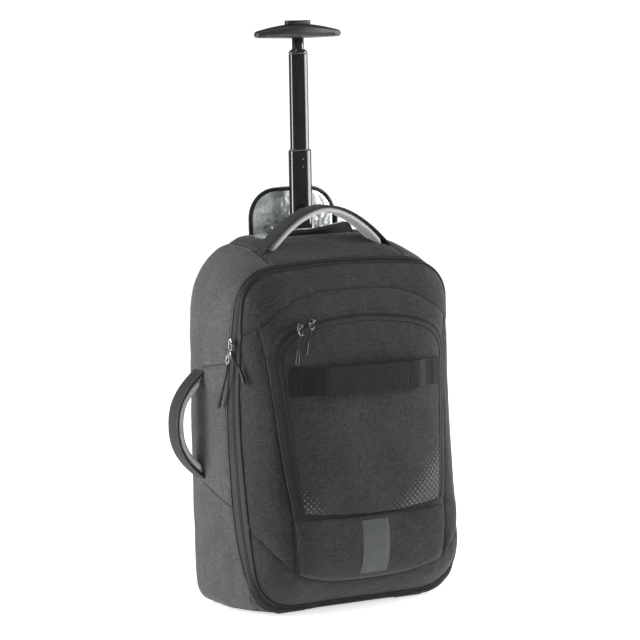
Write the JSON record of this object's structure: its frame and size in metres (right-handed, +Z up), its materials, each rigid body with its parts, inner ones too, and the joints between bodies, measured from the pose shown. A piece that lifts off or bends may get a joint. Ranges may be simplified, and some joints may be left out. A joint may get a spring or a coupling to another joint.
{
  "type": "wheeled backpack",
  "caption": "Soft cabin-size wheeled backpack: zipped lid, front pocket, padded carry handles on top and one side, rear wheels and a telescopic pole with a T grip, shown pulled out.",
  "frame": {"origin": "on the floor, under the middle of the whole object's box", "axes": "+Z up; the bag faces -Y, with its back, pole and wheels at +Y; +X is to the right of someone who looks at its front"},
  "size_m": [0.3996, 0.25, 0.8335],
  "materials": {
    "side_fabric": "matte woven melange polyester",
    "front_fabric": "matte woven melange polyester",
    "dark_fabric": "matte woven polyester",
    "zip_tape": "fine ribbed zip tape",
    "webbing": "flat woven webbing",
    "mesh_padding": "coarse woven padding",
    "silver_lining": "shiny coated lining",
    "patch_film": "smooth film patch",
    "pole_metal": "gloss black anodised",
    "grip_plastic": "satin moulded",
    "chassis_plastic": "fine textured moulded",
    "tyre_rubber": "matte",
    "hub_plastic": "satin moulded",
    "pull_plastic": "satin moulded tip on a cord"
  },
  "bodies": {
    "bag": {"side_panel_left": "side_fabric", "side_panel_right": "side_fabric", "top_panel": "front_fabric", "front_yoke": "front_fabric", "front_lower": "front_fabric", "front_middle": "front_fabric", "front_side_left": "front_fabric", "front_side_right": "front_fabric", "pocket_panel": "front_fabric", "lower_pocket": "front_fabric", "back_panel": "dark_fabric", "base_panel": "dark_fabric", "top_handle_strap": "dark_fabric", "side_handle_strap": "dark_fabric", "trolley_pocket_lip": "dark_fabric", "harness_cover": "dark_fabric", "main_zip_band": "zip_tape", "pocket_zip_band": "zip_tape", "trolley_flap_zip": "zip_tape", "pocket_strap": "webbing", "top_handle_pad": "mesh_padding", "side_handle_pad": "mesh_padding", "trolley_pocket": "silver_lining", "trolley_flap": "silver_lining", "pocket_patch": "patch_film", "pole_base_tube": "pole_metal", "wheel_chassis": "chassis_plastic", "pole_collar": "chassis_plastic", "front_foot_left": "chassis_plastic", "front_foot_right": "chassis_plastic", "axle_left": "hub_plastic", "axle_right": "hub_plastic", "main_zip_pull_front": "pull_plastic", "main_zip_pull_back": "pull_plastic", "pocket_zip_pull_left": "pull_plastic", "pocket_zip_pull_right": "pull_plastic"},
    "pole_lower": {"pole_lower_tube": "pole_metal"},
    "pole_upper": {"pole_upper_tube": "pole_metal", "grip_neck": "grip_plastic", "grip": "grip_plastic"},
    "grip_release": {"grip_button": "grip_plastic"},
    "wheel_left": {"wheel_tyre_left": "tyre_rubber", "wheel_hub_left": "hub_plastic"},
    "wheel_right": {"wheel_tyre_right": "tyre_rubber", "wheel_hub_right": "hub_plastic"}
  },
  "joints": [
    {"name": "pole_lower_slide", "type": "slide", "parent": "bag", "child": "pole_lower", "axis": [0, 0, 1], "range_m": [-0.18, 0.083]},
    {"name": "pole_upper_slide", "type": "slide", "parent": "pole_lower", "child": "pole_upper", "axis": [0, 0, 1], "range_m": [-0.138, 0.113]},
    {"name": "grip_button_press", "type": "slide", "parent": "pole_upper", "child": "grip_release", "axis": [0, 0, 1], "range_m": [-0.0035, 0], "stiffness_N_per_m": 600, "springref_m": 0.001},
    {"name": "wheel_left_spin", "type": "hinge", "parent": "bag", "child": "wheel_left", "pos_m": [-0.11015, 0.09301, 0.032], "axis": [1, 0, 0], "continuous": true},
    {"name": "wheel_right_spin", "type": "hinge", "parent": "bag", "child": "wheel_right", "pos_m": [0.15385, 0.09301, 0.032], "axis": [1, 0, 0], "continuous": true}
  ]
}
